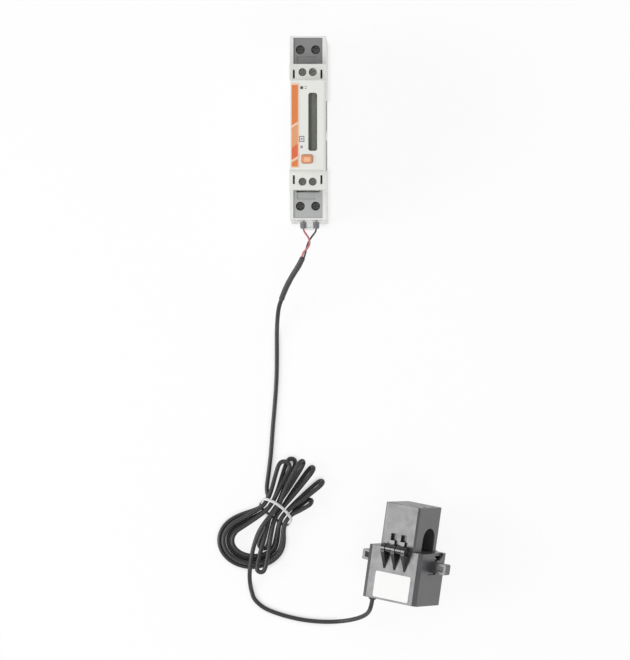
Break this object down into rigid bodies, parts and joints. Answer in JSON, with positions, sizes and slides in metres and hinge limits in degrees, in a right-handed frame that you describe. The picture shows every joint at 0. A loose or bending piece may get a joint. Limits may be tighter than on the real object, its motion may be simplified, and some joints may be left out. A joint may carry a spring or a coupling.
{
  "type": "smart energy monitor",
  "caption": "Slim one-module rail-mounted energy meter with display, button and screw terminals, wired by a tied-up lead to a split-core current sensor.",
  "frame": {"origin": "middle of the mouth of the rail slot, in the plane of the meter's back face", "axes": "+Z out of the meter's front panel, +Y along the meter towards its upper terminals, +X to the right seen from the front; the meter, its lead and its sensor lie on z = 0"},
  "size_m": [0.1173, 0.2929, 0.0658],
  "materials": {
    "white_plastic": "satin",
    "pale_grey_plastic": "satin",
    "grey_plastic": "satin",
    "light_grey_plastic": "satin",
    "orange_film": "gloss",
    "grey_film": "satin",
    "dark_window": "gloss",
    "display_glass": "gloss",
    "orange_plastic": "satin",
    "dark_lens": "gloss",
    "black_plastic": "satin",
    "circuit_board": "satin",
    "capacitor_can": "satin",
    "transformer": "matte",
    "bright_steel": "satin",
    "dark_steel": "satin",
    "contact_brass": "satin",
    "ferrule_grey": "matte",
    "red_insulation": "satin",
    "black_insulation": "satin",
    "sleeve_black": "matte",
    "cable_black": "satin",
    "white_tie": "satin",
    "ferrite": "matte",
    "copper_winding": "gloss",
    "natural_plastic": "satin",
    "white_label": "satin"
  },
  "bodies": {
    "meter": {"housing_base": "white_plastic", "front_cover": "white_plastic", "front_stripe": "orange_film", "side_labels": "grey_film", "display_window": "dark_window", "display_module": "display_glass", "button_switch": "black_plastic", "pulse_led": "dark_lens", "front_board": "circuit_board", "main_board": "circuit_board", "supply_capacitor": "capacitor_can", "supply_transformer": "transformer", "terminal_bars": "contact_brass", "terminal_block_upper": "grey_plastic", "terminal_block_lower": "light_grey_plastic", "signal_block_upper": "pale_grey_plastic", "signal_block_lower": "pale_grey_plastic", "ferrule_left": "ferrule_grey", "ferrule_right": "ferrule_grey", "lead_red": "red_insulation", "lead_black": "black_insulation", "cable_sleeve": "sleeve_black", "cable_upper": "cable_black", "cable_hank": "cable_black", "cable_lower": "cable_black", "cable_tie": "white_tie", "sensor_base": "black_plastic", "sensor_hinge_pin": "bright_steel", "sensor_bottom_cover": "black_plastic", "sensor_outlet": "black_insulation", "sensor_core_lower": "ferrite", "sensor_bobbin": "natural_plastic", "sensor_winding": "copper_winding", "sensor_label": "white_label"},
    "rail_clip": {"rail_clip": "pale_grey_plastic"},
    "push_button": {"push_button": "orange_plastic"},
    "sensor_cap": {"sensor_cap": "black_plastic", "sensor_cap_lid": "black_plastic", "sensor_core_upper": "ferrite"},
    "mains_screw_upper_left": {"mains_screw_upper_left": "dark_steel"},
    "mains_cage_upper_left": {"mains_cage_upper_left": "bright_steel"},
    "signal_screw_upper_left": {"signal_screw_upper_left": "bright_steel"},
    "signal_cage_upper_left": {"signal_cage_upper_left": "bright_steel"},
    "mains_screw_upper_right": {"mains_screw_upper_right": "dark_steel"},
    "mains_cage_upper_right": {"mains_cage_upper_right": "bright_steel"},
    "signal_screw_upper_right": {"signal_screw_upper_right": "bright_steel"},
    "signal_cage_upper_right": {"signal_cage_upper_right": "bright_steel"},
    "mains_screw_lower_left": {"mains_screw_lower_left": "dark_steel"},
    "mains_cage_lower_left": {"mains_cage_lower_left": "bright_steel"},
    "signal_screw_lower_left": {"signal_screw_lower_left": "bright_steel"},
    "signal_cage_lower_left": {"signal_cage_lower_left": "bright_steel"},
    "mains_screw_lower_right": {"mains_screw_lower_right": "dark_steel"},
    "mains_cage_lower_right": {"mains_cage_lower_right": "bright_steel"},
    "signal_screw_lower_right": {"signal_screw_lower_right": "bright_steel"},
    "signal_cage_lower_right": {"signal_cage_lower_right": "bright_steel"}
  },
  "joints": [
    {"name": "button_press", "type": "slide", "parent": "meter", "child": "push_button", "axis": [0, 0, -1], "range_m": [0, 0.0006], "stiffness_N_per_m": 600},
    {"name": "rail_clip_pull", "type": "slide", "parent": "meter", "child": "rail_clip", "axis": [0, -1, 0], "range_m": [0, 0.003], "stiffness_N_per_m": 2000},
    {"name": "sensor_cap_hinge", "type": "hinge", "parent": "meter", "child": "sensor_cap", "pos_m": [0.04276, -0.20862, 0.03335], "axis": [0.853, -0.1536, 0.4988], "range_deg": [0, 95]},
    {"name": "mains_screw_upper_left_turn", "type": "hinge", "parent": "meter", "child": "mains_screw_upper_left", "pos_m": [-0.0038, 0.0387, 0.04], "axis": [0, 0, 1], "range_deg": [-1440, 0]},
    {"name": "mains_cage_upper_left_travel", "type": "slide", "parent": "meter", "child": "mains_cage_upper_left", "axis": [0, 0, 1], "range_m": [0, 0.0028]},
    {"name": "signal_screw_upper_left_turn", "type": "hinge", "parent": "meter", "child": "signal_screw_upper_left", "pos_m": [-0.0025, 0.027, 0.046], "axis": [0, 0, 1], "range_deg": [-576, 0]},
    {"name": "signal_cage_upper_left_travel", "type": "slide", "parent": "meter", "child": "signal_cage_upper_left", "axis": [0, 0, 1], "range_m": [0, 0.0008]},
    {"name": "mains_screw_upper_right_turn", "type": "hinge", "parent": "meter", "child": "mains_screw_upper_right", "pos_m": [0.0038, 0.0387, 0.04], "axis": [0, 0, 1], "range_deg": [-1440, 0]},
    {"name": "mains_cage_upper_right_travel", "type": "slide", "parent": "meter", "child": "mains_cage_upper_right", "axis": [0, 0, 1], "range_m": [0, 0.0028]},
    {"name": "signal_screw_upper_right_turn", "type": "hinge", "parent": "meter", "child": "signal_screw_upper_right", "pos_m": [0.0025, 0.027, 0.046], "axis": [0, 0, 1], "range_deg": [-576, 0]},
    {"name": "signal_cage_upper_right_travel", "type": "slide", "parent": "meter", "child": "signal_cage_upper_right", "axis": [0, 0, 1], "range_m": [0, 0.0008]},
    {"name": "mains_screw_lower_left_turn", "type": "hinge", "parent": "meter", "child": "mains_screw_lower_left", "pos_m": [-0.0038, -0.0387, 0.04], "axis": [0, 0, 1], "range_deg": [0, 1440]},
    {"name": "mains_cage_lower_left_travel", "type": "slide", "parent": "meter", "child": "mains_cage_lower_left", "axis": [0, 0, 1], "range_m": [-0.0028, 0]},
    {"name": "signal_screw_lower_left_turn", "type": "hinge", "parent": "meter", "child": "signal_screw_lower_left", "pos_m": [-0.0025, -0.027, 0.046], "axis": [0, 0, 1], "range_deg": [-576, 0]},
    {"name": "signal_cage_lower_left_travel", "type": "slide", "parent": "meter", "child": "signal_cage_lower_left", "axis": [0, 0, 1], "range_m": [0, 0.0008]},
    {"name": "mains_screw_lower_right_turn", "type": "hinge", "parent": "meter", "child": "mains_screw_lower_right", "pos_m": [0.0038, -0.0387, 0.04], "axis": [0, 0, 1], "range_deg": [0, 1440]},
    {"name": "mains_cage_lower_right_travel", "type": "slide", "parent": "meter", "child": "mains_cage_lower_right", "axis": [0, 0, 1], "range_m": [-0.0028, 0]},
    {"name": "signal_screw_lower_right_turn", "type": "hinge", "parent": "meter", "child": "signal_screw_lower_right", "pos_m": [0.0025, -0.027, 0.046], "axis": [0, 0, 1], "range_deg": [-576, 0]},
    {"name": "signal_cage_lower_right_travel", "type": "slide", "parent": "meter", "child": "signal_cage_lower_right", "axis": [0, 0, 1], "range_m": [0, 0.0008]}
  ],
  "couplings": [
    {"joint": "mains_screw_upper_left_turn", "follows": "mains_cage_upper_left_travel", "rad_per_m": -8976},
    {"joint": "signal_screw_upper_left_turn", "follows": "signal_cage_upper_left_travel", "rad_per_m": -12566},
    {"joint": "mains_screw_upper_right_turn", "follows": "mains_cage_upper_right_travel", "rad_per_m": -8976},
    {"joint": "signal_screw_upper_right_turn", "follows": "signal_cage_upper_right_travel", "rad_per_m": -12566},
    {"joint": "mains_screw_lower_left_turn", "follows": "mains_cage_lower_left_travel", "rad_per_m": -8976},
    {"joint": "signal_screw_lower_left_turn", "follows": "signal_cage_lower_left_travel", "rad_per_m": -12566},
    {"joint": "mains_screw_lower_right_turn", "follows": "mains_cage_lower_right_travel", "rad_per_m": -8976},
    {"joint": "signal_screw_lower_right_turn", "follows": "signal_cage_lower_right_travel", "rad_per_m": -12566}
  ]
}
